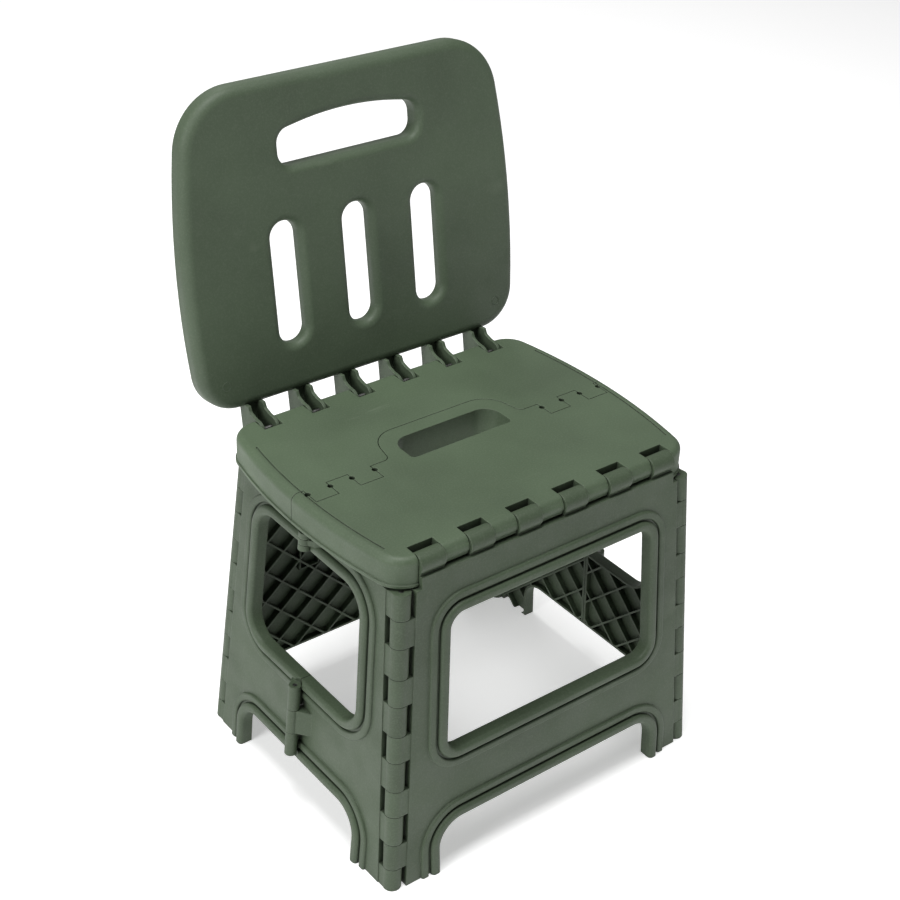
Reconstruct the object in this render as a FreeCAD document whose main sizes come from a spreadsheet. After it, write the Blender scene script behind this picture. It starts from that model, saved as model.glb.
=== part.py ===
"""Folding step stool chair: a moulded seat in two halves on folding leg panels, with a backrest.

Millimetres. +Z is up and the chair faces -Y. The origin is on the floor, under the middle of
the whole chair. The seat folds upwards at its middle while the side panels fold inwards.
"""
import FreeCAD
import Part
import math
import os

from FreeCAD import Matrix, Placement, Rotation, Vector

doc = FreeCAD.newDocument("folding_step_stool_chair")

# Driving dimensions, one row each in the sheet
SIZES = [
    # seat
    ("seat_height", 300.0),
    ("seat_depth", 233.0),
    ("seat_set", 7.5),
    ("seat_width_middle", 322.0),
    ("seat_width_corner", 307.0),
    ("seat_bow_reach", 85.0),
    ("seat_corner_radius", 24.0),
    ("seat_edge_round", 6.0),
    ("seat_plate", 3.0),
    ("seat_wall", 3.0),
    ("seat_skirt", 25.0),
    ("seat_lip", 1.0),
    ("seat_lip_rise", 2.5),
    ("seat_rib", 1.8),
    ("seat_rib_pitch", 27.0),
    ("seat_rib_rise", 5.0),
    ("border_inset", 9.0),
    ("border_groove", 1.4),
    ("border_groove_deep", 0.9),
    # seam between the seat's halves
    ("seam_set", 3.0),
    ("seam_gap", 0.6),
    ("finger_reach", 9.1),
    ("finger_first", 67.5),
    ("finger_second", 86.0),
    ("finger_third", 107.7),
    ("finger_fourth", 128.0),
    ("finger_end", 149.0),
    ("finger_recess_radius", 2.4),
    ("finger_recess_deep", 5.0),
    ("tongue_reach", 44.8),
    ("tongue_half_width", 60.0),
    ("tongue_corner", 24.0),
    ("tongue_root", 6.0),
    ("hole_half_width", 51.0),
    ("hole_front", -0.4),
    ("hole_rear", 30.3),
    ("hole_corner", 15.0),
    ("hole_front_corner", 4.0),
    ("seat_pivot_drop", 17.0),
    ("seat_pivot_radius", 5.0),
    ("seat_pivot_end", 139.0),
    # edge hinges of the seat
    ("edge_hinge_depth", 103.5),
    ("edge_hinge_drop", 8.5),
    ("rear_rod_set", 13.0),
    ("rod_radius", 2.0),
    ("pin_radius", 1.9),
    ("running_gap", 0.08),
    ("open_pivot_gap", 2.2),
    ("open_corner_gap", 0.35),
    ("hook_count", 6),
    ("hook_pitch", 46.5),
    ("hook_width", 22.6),
    ("hook_radius", 8.4),
    ("hook_side_gap", 0.5),
    ("hook_stem", 5.5),
    ("bead_radius", 6.0),
    ("bead_gap", 2.5),
    ("front_notch_reach", 10.9),
    ("rear_notch_reach", 12.4),
    ("arm_width", 16.7),
    ("arm_web", 2.8),
    ("arm_radius", 9.7),
    # leg panels
    ("front_splay", 22.0),
    ("side_splay", 16.4),
    ("splay_height", 274.0),
    ("floor_trim", 12.0),
    ("post_half_width", 139.8),
    ("panel_top", 273.0),
    ("panel_face", 8.0),
    ("panel_back", 0.3),
    ("panel_skin", 2.4),
    ("panel_wall", 2.4),
    ("panel_rib", 1.8),
    ("panel_rib_pitch", 24.0),
    ("panel_edge", 8.4),
    ("ridge_high", 4.3),
    ("ridge_width", 9.0),
    ("ridge_groove", 2.0),
    ("ridge_low", 2.4),
    ("ridge_low_width", 7.0),
    ("front_window_low", 114.5),
    ("front_window_high", 241.0),
    ("front_window_low_half", 107.5),
    ("front_window_high_half", 102.5),
    ("front_window_corner", 13.0),
    ("side_window_low", 127.0),
    ("side_window_high", 253.0),
    ("side_window_low_half", 76.5),
    ("side_window_high_half", 70.5),
    ("side_window_corner", 22.0),
    ("arch_height", 45.0),
    ("arch_corner", 22.0),
    ("front_arch_half", 116.0),
    ("side_arch_half", 83.0),
    # corner posts
    ("knuckle_radius", 7.6),
    ("knuckle_count", 5),
    ("knuckle_first", 20.0),
    ("knuckle_length", 24.4),
    ("knuckle_pitch", 51.7),
    ("knuckle_gap", 0.45),
    # hinge in the middle of each side
    ("side_gap", 0.6),
    ("side_hinge_set", 14.0),
    ("barrel_radius", 5.2),
    ("barrel_base", 17.0),
    ("lower_barrel_low", 54.0),
    ("lower_barrel_high", 124.0),
    ("upper_barrel_low", 256.0),
    ("upper_barrel_high", 272.0),
    # backrest
    ("back_tilt", 9.1),
    ("back_bottom", 305.0),
    ("back_front", 133.4),
    ("back_height", 261.0),
    ("back_bottom_half", 159.0),
    ("back_wide_half", 164.0),
    ("back_top_half", 146.0),
    ("back_wide_at", 62.0),
    ("back_top_corner", 52.0),
    ("back_bottom_corner", 36.0),
    ("back_depth", 16.0),
    ("back_skin", 3.2),
    ("back_edge_round", 8.5),
    ("back_rib_deep", 8.0),
    ("grip_half_width", 68.0),
    ("grip_low", 189.0),
    ("grip_shoulder", 218.0),
    ("grip_peak", 230.0),
    ("grip_top_radius", 280.0),
    ("grip_corner", 12.0),
    ("slot_pitch", 70.0),
    ("slot_half_width", 13.0),
    ("slot_low", 42.0),
    ("slot_high", 146.0),
    ("slot_rim", 11.0),
    ("rim_round", 6.5),
    ("arm_back_reach", 26.5),
    ("arm_foot", 238.0),
    ("arm_heel", 261.5),
]

sheet = doc.addObject("Spreadsheet::Sheet", "sizes")
for row, (alias, value) in enumerate(SIZES, start=1):
    sheet.set("A%d" % row, alias)
    sheet.set("B%d" % row, str(value))
    sheet.setAlias("B%d" % row, alias)
doc.recompute()


def size(alias):
    """The number in the sheet's cell of that name."""
    return float(sheet.get(alias))


# Places that follow from the driving dimensions
FAR = 2000.0
FLOOR_TRIM = size("floor_trim")
SEAT_TOP = size("seat_height")
SKIRT_BOTTOM = SEAT_TOP - size("seat_skirt")
HINGE_Z = SEAT_TOP - size("edge_hinge_drop")
HINGE_Y = size("edge_hinge_depth")
REAR_ROD_Y = HINGE_Y + size("rear_rod_set")
SEAM_Y = size("seam_set")
SEAT_PIVOT_Y = (REAR_ROD_Y - HINGE_Y) / 2.0
FRONT_SLOPE = size("front_splay") / size("splay_height")
SIDE_SLOPE = size("side_splay") / size("splay_height")
FRONT_TILT = math.atan(FRONT_SLOPE)
SIDE_TILT = math.atan(SIDE_SLOPE)
BARREL_SHARE = size("side_hinge_set") / HINGE_Y
SEAT_PIVOT_Z = HINGE_Z - size("seat_pivot_drop")
BACK_TILT = math.radians(size("back_tilt"))
BEAD_BOTTOM = HINGE_Z - size("bead_radius")
HOOKS = [
    (index - (size("hook_count") - 1) / 2.0) * size("hook_pitch")
    for index in range(int(size("hook_count")))
]
HOOKS_END = max(HOOKS) + size("hook_width") / 2.0


def rod_y(sign):
    """Y of the rod along the front (-1) or rear (+1) edge of the seat."""
    return REAR_ROD_Y if sign > 0 else -HINGE_Y


def post_y(height):
    """Half the distance between the front and rear corner axes at a height."""
    return HINGE_Y + (HINGE_Z - height) * FRONT_SLOPE


def post_x(height):
    """Half the distance between the left and right corner axes at a height."""
    return size("post_half_width") + (HINGE_Z - height) * SIDE_SLOPE


def barrel_x(height):
    """Distance of a side's middle hinge axis from the chair's middle plane."""
    return post_x(height) + BARREL_SHARE * post_y(height)


# The chair's origin is under the middle of its whole depth
back_up = Vector(0, math.sin(BACK_TILT), math.cos(BACK_TILT))
rear_reach = size("back_front") + size("back_height") * back_up.y + size("back_depth") * back_up.z
front_reach = post_y(0.0) + (size("panel_face") + size("ridge_high")) / math.cos(FRONT_TILT)
SHIFT = Vector(0, (front_reach - rear_reach) / 2.0, 0)


def frame(origin, across, up):
    """Placement whose local X runs across a panel, Y up it and Z out of its face."""
    out = across.cross(up)
    matrix = Matrix(
        across.x, up.x, out.x, origin.x,
        across.y, up.y, out.y, origin.y,
        across.z, up.z, out.z, origin.z,
        0, 0, 0, 1,
    )
    return Placement(matrix)


def half_turn(place):
    """The same placement turned half way round the vertical axis."""
    return Placement(Vector(), Rotation(Vector(0, 0, 1), 180)).multiply(place)


front_up = Vector(0, math.sin(FRONT_TILT), math.cos(FRONT_TILT))
side_up = Vector(math.sin(SIDE_TILT), 0, math.cos(SIDE_TILT))
FRONT_FRAME = frame(Vector(0, -post_y(0.0), 0), Vector(1, 0, 0), front_up)
REAR_FRAME = half_turn(FRONT_FRAME)
LEFT_FRAME = frame(Vector(-post_x(0.0), 0, 0), Vector(0, -1, 0), side_up)
RIGHT_FRAME = half_turn(LEFT_FRAME)
BACK_FRAME = frame(Vector(0, size("back_front"), size("back_bottom")), Vector(1, 0, 0), back_up)


def local(place, point):
    """A point of the chair in a panel's own frame."""
    return place.inverse().multVec(point)


# Flat shapes
def rounded_face(corners):
    """Face at level 0 inside a polygon of (x, y, radius) corners."""
    count = len(corners)
    stops = []
    for index, (x, y, radius) in enumerate(corners):
        here = Vector(x, y, 0)
        before = Vector(*corners[index - 1][:2], 0) - here
        after = Vector(*corners[(index + 1) % count][:2], 0) - here
        before.normalize()
        after.normalize()
        if radius <= 0:
            stops.append((here, None, here))
            continue
        half = before.getAngle(after) / 2.0
        reach = radius / math.tan(half)
        middle = before + after
        middle.normalize()
        bulge = here + middle * (radius / math.sin(half) - radius)
        stops.append((here + before * reach, bulge, here + after * reach))
    edges = []
    for index, (start, bulge, end) in enumerate(stops):
        if bulge is not None:
            edges.append(Part.Arc(start, bulge, end).toShape())
        following = stops[(index + 1) % count][0]
        if (following - end).Length > 1e-6:
            edges.append(Part.LineSegment(end, following).toShape())
    return Part.Face(Part.Wire(edges))


def rectangle(x_low, x_high, y_low, y_high):
    return rounded_face([(x_low, y_low, 0), (x_high, y_low, 0), (x_high, y_high, 0), (x_low, y_high, 0)])


def grown(face, reach):
    """A face made larger all round, or smaller where reach is negative."""
    if abs(reach) < 1e-9:
        return face
    return face.makeOffset2D(reach)


def sharp_offset(face, reach):
    """A polygon face made larger all round, or smaller, with its corners kept sharp."""
    return face.makeOffset2D(reach, 2)


def prism(face, low, high):
    """The solid between two levels over a flat face."""
    moved = face.copy()
    moved.translate(Vector(0, 0, low))
    return moved.extrude(Vector(0, 0, high - low))


def lattice_cells(face, pitch, rib):
    """The diamond cells left in a face between crossed diagonal ribs."""
    box = face.BoundBox
    reach = box.XLength + box.YLength
    middle = box.Center
    count = int(reach / pitch / 2.0) + 1
    strips = []
    for turn in (45, 135):
        for index in range(-count, count + 1):
            strip = rectangle(-reach, reach, index * pitch - rib / 2.0, index * pitch + rib / 2.0)
            strip.rotate(Vector(), Vector(0, 0, 1), turn)
            strip.translate(Vector(middle.x, middle.y, 0))
            strips.append(strip)
    return face.cut(strips)


def round_top(solid, level, radius):
    """Fillet every edge that lies in the level plane."""
    edges = [
        edge for edge in solid.Edges
        if abs(edge.BoundBox.ZMin - level) < 1e-4 and abs(edge.BoundBox.ZMax - level) < 1e-4
    ]
    return solid.makeFillet(radius, edges)


def rod(start, end, radius):
    """A round bar between two points."""
    along = end - start
    return Part.makeCylinder(radius, along.Length, start, along)


def tight_bore(alias):
    """Radius of a bore that a rod or pin turns in."""
    return size(alias) + size("running_gap")


def one_solid(shape):
    """The shape as a single solid, with split faces joined where that keeps it valid."""
    clean = shape.copy().removeSplitter()
    solids = clean.Solids if clean.isValid() else shape.Solids
    if len(solids) != 1:
        raise ValueError("expected one solid, found %d" % len(solids))
    return solids[0]


def add_node(label, shape, place):
    """One sub-part, placed in the chair's frame."""
    node = doc.addObject("Part::Feature", label)
    node.Label = label
    node.Shape = shape
    node.Placement = Placement(SHIFT, Rotation()).multiply(place)
    return node


def add_round_bar(label, start, end, radius_alias):
    """A rod or pin whose radius follows the sheet."""
    bar = doc.addObject("Part::Cylinder", label)
    bar.Label = label
    bar.setExpression("Radius", "sizes.%s" % radius_alias)
    bar.Height = (end - start).Length
    bar.Placement = Placement(start + SHIFT, Rotation(Vector(0, 0, 1), end - start))
    return bar


# Seat
def seat_outline(inset, level, top):
    """Block with the seat's bowed outline, smaller by inset all round."""
    depth = size("seat_depth") / 2.0 - inset
    middle = size("seat_width_middle") / 2.0 - inset
    corner = size("seat_width_corner") / 2.0 - inset
    reach = size("seat_bow_reach")
    centre = (middle ** 2 - corner ** 2 - reach ** 2) / (2.0 * (middle - corner))
    radius = middle - centre
    end = centre + math.sqrt(radius ** 2 - depth ** 2)
    right = Part.Arc(Vector(end, -depth, 0), Vector(middle, 0, 0), Vector(end, depth, 0))
    left = Part.Arc(Vector(-end, depth, 0), Vector(-middle, 0, 0), Vector(-end, -depth, 0))
    front = Part.LineSegment(Vector(-end, -depth, 0), Vector(end, -depth, 0))
    rear = Part.LineSegment(Vector(end, depth, 0), Vector(-end, depth, 0))
    wire = Part.Wire([front.toShape(), right.toShape(), rear.toShape(), left.toShape()])
    block = prism(Part.Face(wire), level, top)
    block.translate(Vector(0, size("seat_set"), 0))
    uprights = [edge for edge in block.Edges if edge.BoundBox.ZLength > (top - level) / 2.0]
    return block.makeFillet(size("seat_corner_radius") - inset, uprights)


def seat_front_region():
    """The front half's side of the seam, fingers and tongue included."""
    back = SEAM_Y + size("finger_reach")
    fore = SEAM_Y - size("finger_reach")
    turns = [
        (size("finger_end"), back), (size("finger_end"), fore),
        (size("finger_fourth"), fore), (size("finger_fourth"), back),
        (size("finger_third"), back), (size("finger_third"), fore),
        (size("finger_second"), fore), (size("finger_second"), back),
    ]
    right = [(x, y, 0) for x, y in turns]
    right.append((size("finger_first"), back, size("tongue_root")))
    right.append((size("tongue_half_width"), SEAM_Y + size("tongue_reach"), size("tongue_corner")))
    left = [(-x, y, radius) for x, y, radius in reversed(right)]
    edge = size("seat_width_middle")
    corners = [(-edge, -edge, 0), (edge, -edge, 0), (edge, back, 0)]
    return rounded_face(corners + right + left + [(-edge, back, 0)])


def front_half_region(inset):
    """The front half's area, set back from the seam by half its gap and an inset."""
    return sharp_offset(seat_front_region(), -size("seam_gap") / 2.0 - inset)


def rear_half_region(inset):
    """The rear half's area, set back from the seam by half its gap and an inset."""
    reach = size("seat_width_middle")
    whole = rectangle(-reach, reach, -reach, reach)
    return whole.cut(sharp_offset(seat_front_region(), size("seam_gap") / 2.0 + inset))


def seat_hole_face():
    wide = size("hole_half_width")
    low = SEAM_Y + size("hole_front")
    high = SEAM_Y + size("hole_rear")
    small = size("hole_front_corner")
    large = size("hole_corner")
    return rounded_face([(-wide, low, small), (wide, low, small), (wide, high, large), (-wide, high, large)])


def edge_notches(sign, width, reach):
    """Faces of the notches in the front (-1) or rear (+1) edge of the seat."""
    inner = rod_y(sign) - sign * reach
    outer = sign * size("seat_depth")
    low, high = sorted((inner, outer))
    return [rectangle(x - width / 2.0, x + width / 2.0, low, high) for x in HOOKS]


def front_bead():
    """Round bead along the seat's front edge, and the space for the leg panel below it."""
    start = Vector(-HOOKS_END, -HINGE_Y, HINGE_Z)
    end = Vector(HOOKS_END, -HINGE_Y, HINGE_Z)
    reach = HOOKS_END + size("hook_side_gap")
    behind = -HINGE_Y + size("bead_gap") / 2.0
    space = prism(rectangle(-reach, reach, -size("seat_depth"), behind), 0.0, BEAD_BOTTOM)
    return rod(start, end, size("bead_radius")), space


def seat_half(region, sign, notch_width, notch_reach, knuckle_spans, hole):
    """One half of the seat: plate, skirt, ribs, edge notches and seam knuckles."""
    wall = size("seat_wall")
    lip = size("seat_lip")
    inner_top = SEAT_TOP - size("seat_plate")
    block = seat_outline(lip, SKIRT_BOTTOM, SEAT_TOP)
    block = round_top(block, SEAT_TOP, size("seat_edge_round"))
    block = block.fuse(seat_outline(0.0, SKIRT_BOTTOM, SKIRT_BOTTOM + size("seat_lip_rise")))
    block = block.common(prism(region(0.0), SKIRT_BOTTOM - 1.0, SEAT_TOP + 1.0))

    inner = seat_outline(lip + wall, -1.0, 1.0).common(region(wall))
    keep = [grown(notch, wall) for notch in edge_notches(sign, notch_width, notch_reach)]
    if hole is not None:
        keep.append(grown(hole, wall))
    inner = inner.cut(keep)
    deep = prism(inner, SKIRT_BOTTOM - 1.0, SKIRT_BOTTOM + size("seat_rib_rise"))
    cells = lattice_cells(inner, size("seat_rib_pitch"), size("seat_rib"))
    block = block.cut([deep, prism(cells, SKIRT_BOTTOM, inner_top)])

    for low, high in knuckle_spans:
        for side in (-1, 1):
            start = Vector(side * low, SEAT_PIVOT_Y, SEAT_PIVOT_Z)
            end = Vector(side * high, SEAT_PIVOT_Y, SEAT_PIVOT_Z)
            block = block.fuse(rod(start, end, size("seat_pivot_radius")))
    limit = size("finger_end")
    left_end = Vector(-limit, SEAT_PIVOT_Y, SEAT_PIVOT_Z)
    right_end = Vector(limit, SEAT_PIVOT_Y, SEAT_PIVOT_Z)
    block = block.cut(rod(left_end, right_end, tight_bore("pin_radius")))

    if sign < 0:
        bead, space = front_bead()
        block = block.cut(space).fuse(bead)
    openings = edge_notches(sign, notch_width, notch_reach)
    if hole is not None:
        openings.append(hole)
    block = block.cut([prism(face, SKIRT_BOTTOM - 1.0, SEAT_TOP + 1.0) for face in openings])
    ends = rod_ends(sign)
    block = block.cut(rod(ends[0], ends[1], tight_bore("rod_radius")))
    block = block.cut(border_grooves())
    return one_solid(block.cut(finger_recesses()))


def rod_ends(sign):
    """Ends of the rod along the front (-1) or rear (+1) edge of the seat."""
    reach = HOOKS[-1] + size("hook_width") / 2.0 + size("hook_side_gap") + size("seat_wall")
    return Vector(-reach, rod_y(sign), HINGE_Z), Vector(reach, rod_y(sign), HINGE_Z)


def border_grooves():
    """Shallow grooves along the left and right edges of the seat's top."""
    inset = size("border_inset")
    low = SEAT_TOP - size("border_groove_deep")
    outer = seat_outline(inset, low, SEAT_TOP + 1.0)
    inner = seat_outline(inset + size("border_groove"), low - 1.0, SEAT_TOP + 2.0)
    reach = size("seat_bow_reach")
    band = outer.cut(inner)
    sides = []
    for side in (-1, 1):
        low_x, high_x = sorted((side * size("hole_half_width"), side * FAR))
        sides.append(prism(rectangle(low_x, high_x, -reach, reach), low - 1.0, SEAT_TOP + 2.0))
    return band.common(sides)


def finger_recesses():
    """Small round recesses on both flanks of the rear half's fingers."""
    radius = size("finger_recess_radius")
    deep = size("finger_recess_deep")
    recesses = []
    for name in ("finger_second", "finger_third", "finger_fourth", "finger_end"):
        for side in (-1, 1):
            spot = Vector(side * size(name), SEAM_Y + size("finger_reach") / 3.0, SEAT_TOP - deep)
            recesses.append(Part.makeCylinder(radius, deep + 1.0, spot))
    return recesses


def knuckle_spans(names):
    """Clear lengths of seam knuckles between pairs of finger edges."""
    gap = size("seam_gap") / 2.0
    return [
        (size(low) + gap, min(size(high) - gap, size("seat_pivot_end")))
        for low, high in names
    ]


front_notch = size("hook_width") + 2.0 * size("hook_side_gap")
rear_notch = size("arm_width") + 2.0 * size("hook_side_gap")
add_node(
    "seat_front",
    seat_half(
        front_half_region, -1, front_notch, size("front_notch_reach"),
        knuckle_spans([("finger_first", "finger_second"), ("finger_third", "finger_fourth")]),
        seat_hole_face(),
    ),
    Placement(),
)
add_node(
    "seat_rear",
    seat_half(
        rear_half_region, 1, rear_notch, size("rear_notch_reach"),
        knuckle_spans([("finger_second", "finger_third"), ("finger_fourth", "finger_end")]),
        None,
    ),
    Placement(),
)


# Leg panels
FRONT_RISE = 1.0 / math.cos(FRONT_TILT)
SIDE_RISE = 1.0 / math.cos(SIDE_TILT)


def post_line(place, sign_x, sign_y):
    """Foot end and top end of a corner axis in a panel's frame."""
    foot = Vector(sign_x * post_x(0.0), sign_y * post_y(0.0), 0)
    head = Vector(sign_x * post_x(HINGE_Z), sign_y * post_y(HINGE_Z), HINGE_Z)
    return local(place, foot), local(place, head)


def on_line(ends, height):
    """Point of a corner or barrel axis at a height above the floor."""
    foot, head = ends
    return foot + (head - foot) * (height / HINGE_Z)


def panel_outline(rise, low_half, high_half, inset):
    """Face of a leg panel between its two corner posts, before its openings."""
    top = size("panel_top") * rise - inset
    slope = (low_half - high_half) / (size("panel_top") * rise)
    clear = size("panel_edge") + inset
    low = low_half + slope * FLOOR_TRIM - clear
    high = low_half - slope * top - clear
    return rounded_face([(-low, -FLOOR_TRIM, 0), (low, -FLOOR_TRIM, 0), (high, top, 0), (-high, top, 0)])


def window_face(rise, name):
    low = size(name + "_window_low") * rise
    high = size(name + "_window_high") * rise
    wide_low = size(name + "_window_low_half")
    wide_high = size(name + "_window_high_half")
    radius = size(name + "_window_corner")
    return rounded_face([
        (-wide_low, low, radius), (wide_low, low, radius),
        (wide_high, high, radius), (-wide_high, high, radius),
    ])


def arch_face(rise, half):
    """Opening between two feet, open at the floor."""
    top = size("arch_height") * rise
    radius = size("arch_corner")
    below = 2.0 * FLOOR_TRIM
    return rounded_face([(-half, -below, 0), (half, -below, 0), (half, top, radius), (-half, top, radius)])


def ridge(opening, near, far, height):
    """Rounded moulding that follows an opening on a panel's outer face."""
    face_level = size("panel_face")
    top = face_level + height
    ring = grown(opening, far).cut(grown(opening, near))
    return round_top(prism(ring, face_level - size("panel_skin") / 2.0, top), top, height * 0.8)


def ridges(openings, field):
    """Both mouldings round every opening, kept inside the panel's field."""
    first = size("ridge_width")
    second = first + size("ridge_groove")
    third = second + size("ridge_low_width")
    shapes = []
    for opening in openings:
        shapes.append(ridge(opening, 0.0, first, size("ridge_high")))
        shapes.append(ridge(opening, second, third, size("ridge_low")))
    limit = prism(field, 0.0, 2.0 * size("panel_face") + size("ridge_high"))
    return [shape.common(limit) for shape in shapes]


def floor_block(place):
    """Everything below the floor, in a panel's frame."""
    block = Part.makeBox(2.0 * FAR, 2.0 * FAR, FAR, Vector(-FAR, -FAR, -FAR))
    block.Placement = place.inverse()
    return block


def leg_panel(place, outline, openings, clearances):
    """Ribbed moulding with a flat face, mouldings round its openings and a level foot."""
    back = size("panel_back")
    wall = size("panel_wall")
    body = outline(0.0)
    inner = outline(wall)
    if openings:
        body = body.cut(openings)
        inner = inner.cut([grown(opening, wall) for opening in openings])
    slab = prism(body, back, size("panel_face"))
    cells = lattice_cells(inner, size("panel_rib_pitch"), size("panel_rib"))
    slab = slab.cut(prism(cells, back - 1.0, size("panel_face") - size("panel_skin")))
    trims = ridges(openings, body)
    if clearances:
        trims = [trim.cut(clearances) for trim in trims]
    slab = slab.fuse(trims)
    return slab.cut(floor_block(place))


def post_knuckles(ends, inward, spans, bore):
    """Knuckles on one corner axis, with the webs that join them to the panel."""
    radius = size("knuckle_radius")
    foot, head = ends
    along = (head - foot).normalize()
    out = Vector(0, 0, 1)
    across = along.cross(out).normalize()
    if across.x * inward < 0:
        across = across * -1.0
    inner = out * size("panel_back")
    outer = out * (radius - size("panel_back"))
    reach = across * (size("panel_edge") + 1.0)
    shapes = []
    for low, high in spans:
        start = on_line(ends, low)
        end = on_line(ends, high)
        knuckle = rod(start, end, radius)
        web = Part.Face(Part.makePolygon([
            start + inner, start + outer, start + outer + reach, start + inner + reach, start + inner,
        ]))
        knuckle = knuckle.fuse(web.extrude(end - start))
        shapes.append(knuckle.cut(rod(start - along, end + along, bore)))
    return shapes


def front_spans():
    """Heights of the knuckles that belong to the front and rear panels."""
    gap = size("knuckle_gap") / 2.0
    first = size("knuckle_first")
    pitch = size("knuckle_pitch")
    length = size("knuckle_length")
    return [
        (first + index * pitch + gap, first + index * pitch + length - gap)
        for index in range(int(size("knuckle_count")))
    ]


def side_spans():
    """Heights of the knuckles that belong to the side panels."""
    gap = size("knuckle_gap")
    own = front_spans()
    lows = [-FLOOR_TRIM] + [high + gap for low, high in own]
    highs = [low - gap for low, high in own] + [size("panel_top")]
    return list(zip(lows, highs))


def front_strip(inset):
    """Face of the front panel's top strip, which fills the width under the hooks."""
    top = BEAD_BOTTOM - size("bead_gap")
    high = local(FRONT_FRAME, Vector(0, -post_y(top), top)).y
    low = size("panel_top") * FRONT_RISE - 2.0 * size("panel_wall")
    return rectangle(inset - HOOKS_END, HOOKS_END - inset, low, high - inset)


def front_hooks():
    """Hooks that hold the seat's front rod, in the front panel's frame."""
    centre = local(FRONT_FRAME, Vector(0, -HINGE_Y, HINGE_Z))
    width = size("hook_width")
    low = front_strip(size("panel_wall")).BoundBox.YMax
    back = size("panel_back")
    shapes = []
    for x in HOOKS:
        start = Vector(x - width / 2.0, centre.y, centre.z)
        end = Vector(x + width / 2.0, centre.y, centre.z)
        corner = Vector(start.x, low, back)
        stem = Part.makeBox(width, centre.y - low, size("hook_stem") - back, corner)
        shapes.append(rod(start, end, size("hook_radius")).fuse(stem))
    return shapes, rod(
        Vector(-FAR, centre.y, centre.z), Vector(FAR, centre.y, centre.z),
        size("rod_radius") + size("open_pivot_gap"),
    )


def front_panel():
    """Front legs: a wide frame with a window, knuckles on both posts and seat hooks."""
    openings = [window_face(FRONT_RISE, "front"), arch_face(FRONT_RISE, size("front_arch_half"))]

    def outline(inset):
        low = post_x(0.0)
        high = post_x(size("panel_top"))
        frame_face = panel_outline(FRONT_RISE, low, high, inset)
        return frame_face.fuse(front_strip(inset)).removeSplitter()

    panel = leg_panel(FRONT_FRAME, outline, openings, [])
    hooks, bore = front_hooks()
    panel = panel.fuse(hooks)
    loose = size("pin_radius") + size("open_corner_gap")
    for sign, hole in ((-1, tight_bore("pin_radius")), (1, loose)):
        ends = post_line(FRONT_FRAME, sign, -1)
        panel = panel.fuse(post_knuckles(ends, -sign, front_spans(), hole))
    return one_solid(panel.cut(bore))


def rear_panel():
    """Rear legs: a closed panel with an arch, ribbed inside."""
    arch = arch_face(FRONT_RISE, size("front_arch_half"))

    def outline(inset):
        low = post_x(0.0)
        high = post_x(size("panel_top"))
        return panel_outline(FRONT_RISE, low, high, inset)

    panel = leg_panel(REAR_FRAME, outline, [arch], [])
    for sign in (-1, 1):
        ends = post_line(REAR_FRAME, sign, 1)
        panel = panel.fuse(post_knuckles(ends, sign, front_spans(), tight_bore("pin_radius")))
    return one_solid(panel)


def barrel_line(place, sign):
    """Foot end and top end of a side's middle hinge axis in its frame."""
    foot = Vector(sign * barrel_x(0.0), 0, 0)
    head = Vector(sign * barrel_x(HINGE_Z), 0, HINGE_Z)
    return local(place, foot), local(place, head)


def barrel_knuckle(ends, low, high, side):
    """One knuckle of the middle hinge, with its bracket on the side's own half."""
    start = on_line(ends, low)
    end = on_line(ends, high)
    radius = size("barrel_radius")
    root = size("panel_face") - size("panel_skin") / 2.0
    gap = size("side_gap") / 2.0
    bracket = Part.Face(Part.makePolygon([
        Vector(side * gap, start.y, root),
        Vector(0, start.y, start.z),
        Vector(side * radius * 0.7, start.y, start.z + radius * 0.35),
        Vector(side * size("barrel_base"), start.y, root),
        Vector(side * gap, start.y, root),
    ]))
    return rod(start, end, radius).fuse(bracket.extrude(end - start))


def barrel_spans(low, high, rear):
    """Heights of one half's knuckles: the rear half has the outer two."""
    third = (high - low) / 3.0
    gap = size("knuckle_gap") / 2.0
    if rear:
        return [(low, low + third - gap), (high - third + gap, high)]
    return [(low + third + gap, high - third - gap)]


def side_half(rear):
    """Front or rear half of the left side panel, in the left frame (its rear is at -X)."""
    side = -1 if rear else 1
    gap = size("side_gap") / 2.0
    openings = [window_face(SIDE_RISE, "side"), arch_face(SIDE_RISE, size("side_arch_half"))]

    def outline(inset):
        whole = panel_outline(SIDE_RISE, post_y(0.0), post_y(size("panel_top")), inset)
        low, high = sorted((side * (gap + inset), side * FAR))
        return whole.common(rectangle(low, high, -FAR, FAR))

    ends = barrel_line(LEFT_FRAME, -1)
    clear = rod(ends[0], ends[1], size("barrel_radius") + size("side_gap"))
    panel = leg_panel(LEFT_FRAME, outline, openings, [clear])

    knuckles = []
    for name in ("lower", "upper"):
        low = size(name + "_barrel_low")
        high = size(name + "_barrel_high")
        knuckles += [barrel_knuckle(ends, a, b, side) for a, b in barrel_spans(low, high, rear)]
    panel = panel.fuse(knuckles)
    panel = panel.cut(rod(ends[0], ends[1], tight_bore("pin_radius")))

    post = post_line(LEFT_FRAME, -1, 1 if rear else -1)
    panel = panel.fuse(post_knuckles(post, -side, side_spans(), tight_bore("pin_radius")))
    return one_solid(panel.cut(floor_block(LEFT_FRAME)))


def mirrored(shape):
    """The same shape seen in a mirror across the panel's middle."""
    return shape.mirror(Vector(), Vector(1, 0, 0))


add_node("front_leg_panel", front_panel(), FRONT_FRAME)
add_node("rear_leg_panel", rear_panel(), REAR_FRAME)
for half_name, is_rear in (("front", False), ("rear", True)):
    half_shape = side_half(is_rear)
    add_node("left_side_" + half_name, half_shape, LEFT_FRAME)
    add_node("right_side_" + half_name, mirrored(half_shape), RIGHT_FRAME)


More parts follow.
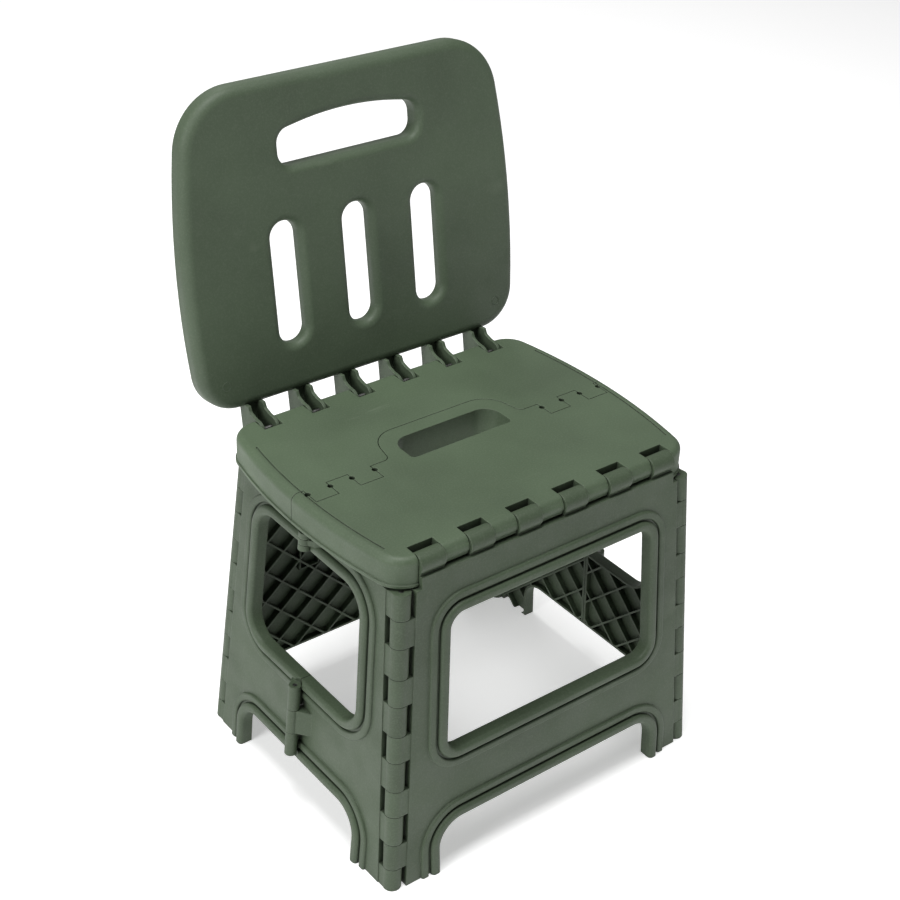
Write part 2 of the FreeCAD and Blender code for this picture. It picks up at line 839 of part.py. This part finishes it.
# Backrest
def back_outline(inset):
    """Face of the backrest: straight bottom and top, bowed sides, round corners."""
    bottom = size("back_bottom_half") - inset
    wide = size("back_wide_half") - inset
    top = size("back_top_half") - inset
    high = size("back_height") - inset
    at = size("back_wide_at")
    right = Part.Arc(Vector(bottom, inset, 0), Vector(wide, at, 0), Vector(top, high, 0))
    left = Part.Arc(Vector(-top, high, 0), Vector(-wide, at, 0), Vector(-bottom, inset, 0))
    upper = Part.LineSegment(Vector(top, high, 0), Vector(-top, high, 0))
    lower = Part.LineSegment(Vector(-bottom, inset, 0), Vector(bottom, inset, 0))
    return Part.Face(Part.Wire([lower.toShape(), right.toShape(), upper.toShape(), left.toShape()]))


def back_block(inset, low, high, edge_round):
    """Solid backrest form between two depths, with its front edge rounded."""
    block = prism(back_outline(inset), low, high)
    middle = size("back_height") / 2.0
    for upper, radius in ((False, size("back_bottom_corner")), (True, size("back_top_corner"))):
        uprights = [
            edge for edge in block.Edges
            if edge.BoundBox.ZLength > (high - low) / 2.0
            and (edge.BoundBox.YMin > middle) == upper
        ]
        block = block.makeFillet(radius - inset, uprights)
    return round_top(block, high, edge_round)


def grip_face(reach):
    """Outline of the hand hole, its top edge slightly arched, larger by reach all round."""
    wide = size("grip_half_width") + reach
    low = size("grip_low") - reach
    shoulder = size("grip_shoulder") + reach
    corner = size("grip_corner") + reach
    crown = (0, size("grip_peak") + reach, size("grip_top_radius") + reach)
    return rounded_face([
        (-wide, low, corner), (wide, low, corner), (wide, shoulder, corner),
        crown, (-wide, shoulder, corner),
    ])


def slot_faces():
    half = size("slot_half_width")
    low = size("slot_low")
    high = size("slot_high")
    round_end = half * 0.98
    faces = []
    for index in (-1, 0, 1):
        x = index * size("slot_pitch")
        faces.append(rounded_face([
            (x - half, low, round_end), (x + half, low, round_end),
            (x + half, high, round_end), (x - half, high, round_end),
        ]))
    return faces


def soft_holes(block, faces, level, radius):
    """The block with holes cut through it and their front edges rounded."""
    block = block.cut([prism(face, -FAR, 1.0) for face in faces])
    boxes = [face.BoundBox for face in faces]
    edges = []
    for edge in block.Edges:
        box = edge.BoundBox
        if abs(box.ZMin - level) > 1e-4 or abs(box.ZMax - level) > 1e-4:
            continue
        middle = box.Center
        if any(abs(middle.x - b.Center.x) < b.XLength * 0.51 and abs(middle.y - b.Center.y) < b.YLength * 0.51
               for b in boxes):
            edges.append(edge)
    return block.makeFillet(radius, edges)


def arm_profile():
    """Side view of a backrest arm as a face in the chair's middle plane."""
    def point(y, z):
        return Vector(0, y, z)

    radius = size("arm_radius")
    outer = size("panel_face") * FRONT_RISE
    skin = size("back_skin")
    rear_y = REAR_ROD_Y + size("arm_back_reach")
    foot = size("arm_foot")
    top = size("panel_top") + size("panel_back") * 2.0
    crest = point(REAR_ROD_Y, HINGE_Z + radius)
    neck = point(REAR_ROD_Y + radius, HINGE_Z + radius * 1.2)
    chin = point(size("back_front") - skin, size("back_bottom") + skin)
    curve = Part.BSplineCurve()
    curve.interpolate([crest, neck, chin], Tangents=[point(1, 0), point(1, 0.3), point(1, 1.2)],
                      TangentFlags=[True, True, True])
    corners = [
        chin,
        point(rear_y, size("back_bottom") + skin / 2.0),
        point(rear_y - skin, HINGE_Z - skin),
        point(rear_y - 2.0 * skin, size("arm_heel")),
        point(post_y(foot) + outer, foot),
        point(post_y(top) + outer, top),
        point(REAR_ROD_Y, HINGE_Z - radius),
    ]
    edges = [curve.toShape()]
    for start, end in zip(corners, corners[1:]):
        edges.append(Part.LineSegment(start, end).toShape())
    edges.append(Part.Arc(corners[-1], point(REAR_ROD_Y - radius, HINGE_Z), crest).toShape())
    spine = Part.makePolygon(corners[1:5])
    return Part.Face(Part.Wire(edges)), spine


def backrest_arms():
    """Six channel-shaped arms from the backrest down to the rear legs."""
    web, spine = arm_profile()
    width = size("arm_width")
    thick = size("arm_web")
    back_wall = spine.extrude(Vector(0, -thick, 0)).extrude(Vector(width, 0, 0))
    arms = []
    for x in HOOKS:
        left = web.extrude(Vector(thick, 0, 0))
        left.translate(Vector(x - width / 2.0, 0, 0))
        right = web.extrude(Vector(thick, 0, 0))
        right.translate(Vector(x + width / 2.0 - thick, 0, 0))
        across = back_wall.copy()
        across.translate(Vector(x - width / 2.0, 0, 0))
        limit = web.extrude(Vector(width, 0, 0))
        limit.translate(Vector(x - width / 2.0, 0, 0))
        arms.append(left.fuse([right, across.common(limit)]))
    return arms


def backrest():
    """Hollow backrest shell with a grip hole, three slots, inner ribs and its arms."""
    depth = size("back_depth")
    skin = size("back_skin")
    block = back_block(0.0, -depth, 0.0, size("back_edge_round"))
    hollow = back_block(skin, -depth - 1.0, -skin, size("back_edge_round") - skin)
    slots = slot_faces()
    holes = [grip_face(0.0)] + slots
    wide_holes = [grip_face(skin)] + [grown(slot, skin) for slot in slots]
    rim = size("rim_round")
    block = soft_holes(block, holes, 0.0, rim)
    funnels = soft_holes(hollow, wide_holes, -skin, rim - skin)
    behind = prism(rectangle(-FAR, FAR, -FAR, FAR), -depth - 1.0, -size("slot_rim"))
    short_rims = behind.common([prism(face, -depth - 1.0, 0.0) for face in wide_holes[1:]])
    ribs = prism(rectangle(-FAR, FAR, -FAR, FAR), -size("back_rib_deep"), 0.0)
    inner = back_outline(skin)
    cells = prism(lattice_cells(inner, size("seat_rib_pitch"), size("seat_rib")), -depth, 0.0)
    shell = block.cut(funnels.cut(ribs.cut(cells))).cut(short_rims)
    arms = backrest_arms()
    bore = rod(
        Vector(-FAR, REAR_ROD_Y, HINGE_Z), Vector(FAR, REAR_ROD_Y, HINGE_Z), tight_bore("rod_radius")
    )
    for arm in arms:
        arm = arm.cut(bore)
        arm.Placement = BACK_FRAME.inverse()
        shell = shell.fuse(arm)
    return one_solid(shell)


add_node("backrest", backrest(), BACK_FRAME)


# Rods and pins
def corner_rod(label, sign_x, sign_y):
    ends = post_line(Placement(), sign_x, sign_y)
    start = on_line(ends, size("panel_wall"))
    end = on_line(ends, size("panel_top"))
    add_round_bar(label, start, end, "pin_radius")


for fore, sign_y in (("front", -1), ("rear", 1)):
    for hand, sign_x in (("left", -1), ("right", 1)):
        corner_rod("%s_%s_corner_rod" % (fore, hand), sign_x, sign_y)
    rod_start, rod_end = rod_ends(sign_y)
    add_round_bar("seat_%s_rod" % fore, rod_start, rod_end, "rod_radius")

for hand, sign_x in (("left", -1), ("right", 1)):
    near = size("finger_first") + size("seam_gap")
    far = size("seat_pivot_end")
    add_round_bar(
        "seat_hinge_pin_" + hand,
        Vector(sign_x * near, SEAT_PIVOT_Y, SEAT_PIVOT_Z),
        Vector(sign_x * far, SEAT_PIVOT_Y, SEAT_PIVOT_Z),
        "pin_radius",
    )
    for level in ("lower", "upper"):
        axis = barrel_line(Placement(), sign_x)
        add_round_bar(
            "%s_%s_hinge_pin" % (hand, level),
            on_line(axis, size(level + "_barrel_low")), on_line(axis, size(level + "_barrel_high")),
            "pin_radius",
        )


# Check everything, then write one file for each sub-part
doc.recompute()
for item in doc.Objects:
    if "Invalid" in item.State or "Error" in item.State:
        raise RuntimeError("%s failed: %s" % (item.Name, item.State))
nodes = [item for item in doc.Objects if hasattr(item, "Shape")]
for node in nodes:
    if node.Shape.isNull() or not node.Shape.isValid():
        raise RuntimeError("%s has no valid shape" % node.Label)
os.makedirs("parts", exist_ok=True)
for node in nodes:
    node.Shape.exportStep(os.path.join("parts", node.Label + ".step"))
    print(node.Label, round(node.Shape.Volume / 1000.0, 2), "cm3")
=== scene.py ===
"""Folding step stool chair in dark green moulded plastic, dressed over its solid model.

Metres, in the solid model's own frame. +Z is up and the chair faces -Y.
"""

import math

import bmesh
import bpy
from mathutils import Matrix, Vector


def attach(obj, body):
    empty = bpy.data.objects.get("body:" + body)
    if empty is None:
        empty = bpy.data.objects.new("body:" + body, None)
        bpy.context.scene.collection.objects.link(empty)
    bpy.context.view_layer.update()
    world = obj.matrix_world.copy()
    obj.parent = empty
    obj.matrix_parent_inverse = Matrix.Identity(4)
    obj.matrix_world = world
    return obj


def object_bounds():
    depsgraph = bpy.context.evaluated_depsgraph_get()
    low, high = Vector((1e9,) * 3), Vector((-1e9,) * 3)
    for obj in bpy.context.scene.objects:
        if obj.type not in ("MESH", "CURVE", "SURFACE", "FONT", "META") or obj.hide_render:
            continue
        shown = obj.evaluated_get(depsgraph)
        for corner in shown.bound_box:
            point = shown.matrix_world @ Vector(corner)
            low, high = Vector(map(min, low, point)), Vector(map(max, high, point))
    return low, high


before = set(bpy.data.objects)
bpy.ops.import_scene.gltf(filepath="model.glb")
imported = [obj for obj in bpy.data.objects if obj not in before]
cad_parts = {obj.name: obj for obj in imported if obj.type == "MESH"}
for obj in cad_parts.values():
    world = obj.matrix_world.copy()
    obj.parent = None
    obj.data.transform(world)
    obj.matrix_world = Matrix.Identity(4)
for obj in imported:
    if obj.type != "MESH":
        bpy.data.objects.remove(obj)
solid_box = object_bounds()

# Camera, as the photograph was taken
CAMERA_AZIMUTH = math.radians(-39.25)
CAMERA_ELEVATION = math.radians(32.14)
CAMERA_ROLL = math.radians(2.88)
CAMERA_DISTANCE = 1.4548
CAMERA_AIM = Vector((0.0251, 0.0245, 0.2559))
CAMERA_LENS = 68.54
SENSOR_WIDTH = 36.0
VIEW_REACH = 60.0

# Colours, as linear red, green and blue
GREEN = (0.052, 0.076, 0.043)
# Seat green is the same plastic painted lighter: painted light on the seat's top
LIT_SEAT_GREEN = (0.070, 0.102, 0.059)
# Backrest green is the same plastic painted darker: painted shade on the backrest
PAINTED_SHADE_GREEN = (0.062, 0.089, 0.053)
STEEL = (0.32, 0.32, 0.31)
DUST = (0.26, 0.31, 0.23)
FLOOR_WHITE = (0.97, 0.97, 0.97)
FLOOR_GLOW = 0.42
WORLD_STRENGTH = 0.15

# Material settings
TONE_SPREAD = (0.87, 1.16)
# Share of the green kept where painted shade darkens gaps and inner corners
PAINTED_SHADE_SHARE = 0.16
PLASTIC_ROUGHNESS = (0.50, 0.64)
PLASTIC_SHINE = 0.42
STEEL_ROUGHNESS = (0.30, 0.48)
FLOOR_ROUGHNESS = 0.8
NO_SHIFT = (0.0, 0.0, 0.0)
EVEN = (1.0, 1.0, 1.0)
STREAK_STRETCH = (16.0, 130.0, 16.0)
WIRE_STRETCH = (400.0, 400.0, 40.0)

# Sizes of the surface detail
GRAIN_SIZE = 0.0011
GRAIN_DEPTH = 0.00009
EDGE_SOFTNESS = 0.0011
CREVICE_REACH = 0.009
FLOOR_REACH = 14.0
FLOOR_GAP = 0.0004

# Small details, in metres
BACK_TILT = math.radians(9.1)
BACK_FOOT = Vector((0.0, 0.10778, 0.305))
MARK_PLACES = ((-0.1395, 0.0237), (0.1395, 0.0237))
MARK_RADIUS = 0.0038
MARK_RIM = 0.00028
MARK_TURNS = 40
MARK_SIDES = 8
REAR_SLOPE = 22.0 / 274.0
REAR_FOOT = Vector((0.0, 0.10129, 0.0))
POCKET_OUTLINE = ((-0.0836, 0.190), (-0.0836, 0.1355), (-0.0640, 0.1355), (-0.0640, 0.190))
POCKET_WALL = 0.0016
POCKET_SOFTNESS = POCKET_WALL * 0.2
POCKET_DEPTHS = (0.0006, 0.0052)
BAR_FACES = (
    (0, 1, 2, 3), (4, 5, 6, 7), (0, 1, 5, 4),
    (1, 2, 6, 5), (2, 3, 7, 6), (3, 0, 4, 7),
)


# Materials
def mixed_colour(tree, share, first, second):
    """Colour that goes from the first to the second as the share goes from 0 to 1."""
    mix = tree.nodes.new("ShaderNodeMix")
    mix.data_type = "RGBA"
    tree.links.new(share, mix.inputs[0])
    for socket, colour in ((mix.inputs[6], first), (mix.inputs[7], second)):
        if isinstance(colour, tuple):
            socket.default_value = colour + (1.0,)
        else:
            tree.links.new(colour, socket)
    return mix.outputs[2]


def mapped(tree, value, low, high, to_low, to_high):
    """A value moved from one range into another, and held inside it."""
    node = tree.nodes.new("ShaderNodeMapRange")
    tree.links.new(value, node.inputs[0])
    for index, number in enumerate((low, high, to_low, to_high), start=1):
        node.inputs[index].default_value = number
    return node.outputs[0]


def scaled_place(tree, scale, shift):
    """The surface's own place, stretched and moved for a texture."""
    place = tree.nodes.new("ShaderNodeTexCoord")
    mapping = tree.nodes.new("ShaderNodeMapping")
    mapping.inputs["Scale"].default_value = scale
    mapping.inputs["Location"].default_value = shift
    tree.links.new(place.outputs["Object"], mapping.inputs["Vector"])
    return mapping.outputs[0]


def noise(tree, place, scale, detail):
    """Soft random pattern between 0 and 1."""
    node = tree.nodes.new("ShaderNodeTexNoise")
    node.inputs["Scale"].default_value = scale
    node.inputs["Detail"].default_value = detail
    tree.links.new(place, node.inputs["Vector"])
    return node.outputs[0]


def product(tree, first, second):
    """Two values multiplied."""
    node = tree.nodes.new("ShaderNodeMath")
    node.operation = "MULTIPLY"
    tree.links.new(first, node.inputs[0])
    tree.links.new(second, node.inputs[1])
    return node.outputs[0]


def soft_edges(tree):
    """Normal with rounded edges, and a mask that is 1 along those edges."""
    bevel = tree.nodes.new("ShaderNodeBevel")
    bevel.samples = 6
    bevel.inputs["Radius"].default_value = EDGE_SOFTNESS
    geometry = tree.nodes.new("ShaderNodeNewGeometry")
    dot = tree.nodes.new("ShaderNodeVectorMath")
    dot.operation = "DOT_PRODUCT"
    tree.links.new(bevel.outputs[0], dot.inputs[0])
    tree.links.new(geometry.outputs["Normal"], dot.inputs[1])
    return bevel.outputs[0], mapped(tree, dot.outputs["Value"], 0.995, 0.90, 0.0, 1.0)


def painted_crevice_shade(tree):
    """Painted shade: mask that is 1 deep in gaps and inner corners, where light doesn't reach."""
    closed = tree.nodes.new("ShaderNodeAmbientOcclusion")
    closed.samples = 8
    closed.inputs["Distance"].default_value = CREVICE_REACH
    return mapped(tree, closed.outputs["AO"], 0.62, 0.20, 0.0, 0.85)


def grain_bump(tree, normal, shift):
    """Leather-like moulded grain over a surface."""
    place = scaled_place(tree, EVEN, shift)
    cells = tree.nodes.new("ShaderNodeTexVoronoi")
    cells.feature = "SMOOTH_F1"
    cells.inputs["Scale"].default_value = 1.0 / GRAIN_SIZE
    cells.inputs["Smoothness"].default_value = 0.6
    tree.links.new(place, cells.inputs["Vector"])
    bump = tree.nodes.new("ShaderNodeBump")
    bump.inputs["Strength"].default_value = 0.55
    bump.inputs["Distance"].default_value = GRAIN_DEPTH
    tree.links.new(cells.outputs["Distance"], bump.inputs["Height"])
    tree.links.new(normal, bump.inputs["Normal"])
    wide = tree.nodes.new("ShaderNodeBump")
    wide.inputs["Strength"].default_value = 0.25
    wide.inputs["Distance"].default_value = 0.0006
    tree.links.new(noise(tree, place, 22.0, 2.0), wide.inputs["Height"])
    tree.links.new(bump.outputs[0], wide.inputs["Normal"])
    return wide.outputs[0]


def moulded_plastic(name, colour, shift):
    """Matte moulded plastic: grain, soft worn edges, faint scuffs, uneven tone and painted shade in
    gaps and inner corners.
    """
    material = bpy.data.materials.new(name)
    material.use_nodes = True
    tree = material.node_tree
    shader = tree.nodes["Principled BSDF"]
    normal, edges = soft_edges(tree)
    place = scaled_place(tree, EVEN, shift)
    deep, pale = (tuple(channel * share for channel in colour) for share in TONE_SPREAD)
    tone = mapped(tree, noise(tree, place, 9.0, 4.0), 0.32, 0.68, 0.0, 1.0)
    base = mixed_colour(tree, tone, deep, pale)
    speckle = mapped(tree, noise(tree, place, 700.0, 2.0), 0.45, 0.80, 0.0, 0.10)
    base = mixed_colour(tree, speckle, base, DUST)
    streak_place = scaled_place(tree, STREAK_STRETCH, shift)
    streaks = mapped(tree, noise(tree, streak_place, 1.0, 5.0), 0.66, 0.78, 0.0, 0.16)
    patches = mapped(tree, noise(tree, place, 5.0, 1.0), 0.45, 0.65, 0.0, 1.0)
    scuffs = product(tree, streaks, patches)
    base = mixed_colour(tree, scuffs, base, DUST)
    breaks = mapped(tree, noise(tree, place, 60.0, 3.0), 0.35, 0.65, 0.03, 0.22)
    base = mixed_colour(tree, product(tree, edges, breaks), base, DUST)
    # Painted shade: the colour turns to a much darker green deep in gaps and inner corners
    painted_shade = tuple(channel * PAINTED_SHADE_SHARE for channel in colour)
    base = mixed_colour(tree, painted_crevice_shade(tree), base, painted_shade)
    tree.links.new(base, shader.inputs["Base Color"])
    rough = mapped(tree, noise(tree, place, 35.0, 4.0), 0.3, 0.7, *PLASTIC_ROUGHNESS)
    tree.links.new(rough, shader.inputs["Roughness"])
    shader.inputs["Specular IOR Level"].default_value = PLASTIC_SHINE
    tree.links.new(grain_bump(tree, normal, shift), shader.inputs["Normal"])
    return material


def drawn_steel(name):
    """Plain steel wire with drawing marks and a few darker spots."""
    material = bpy.data.materials.new(name)
    material.use_nodes = True
    tree = material.node_tree
    shader = tree.nodes["Principled BSDF"]
    place = scaled_place(tree, WIRE_STRETCH, NO_SHIFT)
    marks = noise(tree, place, 1.0, 4.0)
    dark = tuple(channel * 0.5 for channel in STEEL)
    spots = mapped(tree, marks, 0.4, 0.7, 0.0, 1.0)
    tree.links.new(mixed_colour(tree, spots, dark, STEEL), shader.inputs["Base Color"])
    tree.links.new(mapped(tree, marks, 0.3, 0.7, *STEEL_ROUGHNESS), shader.inputs["Roughness"])
    shader.inputs["Metallic"].default_value = 1.0
    return material


def dress(node, material):
    """Give one carried-over node its material."""
    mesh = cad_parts[node].data
    mesh.materials.clear()
    mesh.materials.append(material)


panel_green = moulded_plastic("panel_green", GREEN, NO_SHIFT)
# Seat gets a lighter copy of the green plastic as painted light
lit_seat_green = moulded_plastic("lit_seat_green", LIT_SEAT_GREEN, (3.1, 1.7, 0.4))
side_green = moulded_plastic("side_green", GREEN, (7.3, 2.2, 5.1))
# Backrest and its ejector marks get a darker copy of the green plastic as painted shade
shaded_back_green = moulded_plastic("shaded_back_green", PAINTED_SHADE_GREEN, (1.9, 8.4, 2.6))
steel = drawn_steel("drawn_steel")

# Material of each moulding that is no side panel, rod or pin
FINISHES = {
    "seat_front": lit_seat_green,
    "seat_rear": lit_seat_green,
    "front_leg_panel": panel_green,
    "rear_leg_panel": panel_green,
    "backrest": shaded_back_green,
}
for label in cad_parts:
    if label.endswith("rod") or "hinge_pin" in label:
        dress(label, steel)
    elif "_side_" in label:
        dress(label, side_green)
    else:
        dress(label, FINISHES[label])


# Small details that the solid model leaves out
def surface_frame(origin, up):
    """Matrix whose X runs across the chair, Y up a panel and Z out of its face."""
    across = Vector((1.0, 0.0, 0.0))
    turn = Matrix((across, up, across.cross(up))).transposed().to_4x4()
    return Matrix.Translation(origin) @ turn


def detail(name, shape, place, material, body):
    """Finished small piece that moves with one body of the chair."""
    bmesh.ops.recalc_face_normals(shape, faces=shape.faces)
    mesh = bpy.data.meshes.new(name)
    shape.to_mesh(mesh)
    shape.free()
    mesh.transform(place)
    mesh.materials.append(material)
    piece = bpy.data.objects.new(name, mesh)
    bpy.context.scene.collection.objects.link(piece)
    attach(piece, body)


def ejector_mark(name, across, high):
    """Faint round rim that a mould's pin leaves on the backrest."""
    shape = bmesh.new()
    turns, sides = MARK_TURNS, MARK_SIDES
    rings = []
    for turn in range(turns):
        angle = 2.0 * math.pi * turn / turns
        ring = []
        for side in range(sides):
            tilt = 2.0 * math.pi * side / sides
            reach = MARK_RADIUS + MARK_RIM * math.cos(tilt)
            out = across + reach * math.cos(angle)
            rise = high + reach * math.sin(angle)
            ring.append(shape.verts.new((out, rise, MARK_RIM * math.sin(tilt))))
        rings.append(ring)
    for turn in range(turns):
        here, after = rings[turn], rings[(turn + 1) % turns]
        for side in range(sides):
            follow = (side + 1) % sides
            shape.faces.new((here[side], after[side], after[follow], here[follow]))
    up = Vector((0.0, math.sin(BACK_TILT), math.cos(BACK_TILT)))
    detail(name, shape, surface_frame(BACK_FOOT, up), shaded_back_green, "rear_frame")


def pocket_ribs():
    """Three thin ribs of the narrow pocket inside the rear leg panel."""
    up = Vector((0.0, -REAR_SLOPE, 1.0)).normalized()
    inner_face = surface_frame(REAR_FOOT, up)
    near, far = POCKET_DEPTHS
    half = POCKET_WALL / 2.0
    (left, top), (_, bottom), (right, _), _ = POCKET_OUTLINE
    bars = (
        ("pocket_rib_left", left - half, left + half, bottom - half, top),
        ("pocket_rib_foot", left - half, right + half, bottom - half, bottom + half),
        ("pocket_rib_right", right - half, right + half, bottom - half, top),
    )
    for name, low_x, high_x, low_y, high_y in bars:
        shape = bmesh.new()
        corners = [
            shape.verts.new((x, y, -depth))
            for depth in (near, far)
            for x, y in ((low_x, low_y), (high_x, low_y), (high_x, high_y), (low_x, high_y))
        ]
        for face in BAR_FACES:
            shape.faces.new([corners[index] for index in face])
        bmesh.ops.bevel(shape, geom=shape.edges[:], offset=POCKET_SOFTNESS, segments=2, affect="EDGES")
        detail(name, shape, inner_face, panel_green, "rear_frame")


for number, (across, high) in enumerate(MARK_PLACES, start=1):
    ejector_mark("ejector_mark_%d" % number, across, high)
pocket_ribs()


# Floor, light and camera
def plain_material(name, colour, roughness):
    """Slightly uneven plain surface for the floor."""
    material = bpy.data.materials.new(name)
    material.use_nodes = True
    tree = material.node_tree
    shader = tree.nodes["Principled BSDF"]
    place = scaled_place(tree, EVEN, NO_SHIFT)
    darker = tuple(channel * 0.985 for channel in colour)
    base = mixed_colour(tree, noise(tree, place, 3.0, 2.0), darker, colour)
    tree.links.new(base, shader.inputs["Base Color"])
    shader.inputs["Roughness"].default_value = roughness
    shader.inputs["Emission Color"].default_value = (1.0, 1.0, 1.0, 1.0)
    shader.inputs["Emission Strength"].default_value = FLOOR_GLOW
    return material


def floor():
    """Wide pale floor under the chair's feet."""
    mesh = bpy.data.meshes.new("floor")
    shape = bmesh.new()
    bmesh.ops.create_grid(shape, x_segments=2, y_segments=2, size=FLOOR_REACH)
    shape.to_mesh(mesh)
    shape.free()
    mesh.materials.append(plain_material("floor_white", FLOOR_WHITE, FLOOR_ROUGHNESS))
    ground = bpy.data.objects.new("floor", mesh)
    ground.location.z = solid_box[0][2] - FLOOR_GAP
    bpy.context.scene.collection.objects.link(ground)


def soft_light(name, place, target, width, power):
    """Square soft light that looks at a point."""
    data = bpy.data.lights.new(name, "AREA")
    data.shape = "SQUARE"
    data.size = width
    data.energy = power
    light = bpy.data.objects.new(name, data)
    light.location = place
    light.rotation_euler = (Vector(target) - Vector(place)).to_track_quat("-Z", "Y").to_euler()
    bpy.context.scene.collection.objects.link(light)


def world_light(strength):
    """Even white light from all round."""
    world = bpy.data.worlds.new("studio")
    world.use_nodes = True
    background = world.node_tree.nodes["Background"]
    background.inputs["Color"].default_value = (1.0, 1.0, 1.0, 1.0)
    background.inputs["Strength"].default_value = strength
    bpy.context.scene.world = world


def photo_camera():
    """Camera at the photograph's angle, distance and lens."""
    data = bpy.data.cameras.new("camera")
    data.sensor_width = SENSOR_WIDTH
    data.lens = CAMERA_LENS
    data.clip_end = VIEW_REACH
    back = Vector((
        math.sin(CAMERA_AZIMUTH) * math.cos(CAMERA_ELEVATION),
        -math.cos(CAMERA_AZIMUTH) * math.cos(CAMERA_ELEVATION),
        math.sin(CAMERA_ELEVATION),
    ))
    level = Vector((0.0, 0.0, 1.0)).cross(back).normalized()
    rise = back.cross(level)
    right = level * math.cos(CAMERA_ROLL) + rise * math.sin(CAMERA_ROLL)
    up = rise * math.cos(CAMERA_ROLL) - level * math.sin(CAMERA_ROLL)
    camera = bpy.data.objects.new("camera", data)
    turn = Matrix((right, up, back)).transposed().to_4x4()
    camera.matrix_world = Matrix.Translation(CAMERA_AIM + back * CAMERA_DISTANCE) @ turn
    bpy.context.scene.collection.objects.link(camera)
    bpy.context.scene.camera = camera


LIGHTS = (
    ("key", (-2.5, -0.2, 1.9), (0.0, 0.0, 0.25), 1.2, 44.0),
    ("top", (-0.3, -0.1, 2.8), (0.0, -0.1, 0.3), 1.2, 58.0),
    ("fill", (1.7, -2.2, 0.9), (0.0, 0.0, 0.2), 1.6, 1.0),
    ("rear", (0.8, 2.2, 1.8), (0.0, 0.0, 0.3), 1.4, 8.0),
)
floor()
world_light(WORLD_STRENGTH)
for light_name, light_place, light_target, light_width, light_power in LIGHTS:
    soft_light(light_name, light_place, light_target, light_width, light_power)
bpy.context.scene.view_settings.view_transform = "Standard"
photo_camera()
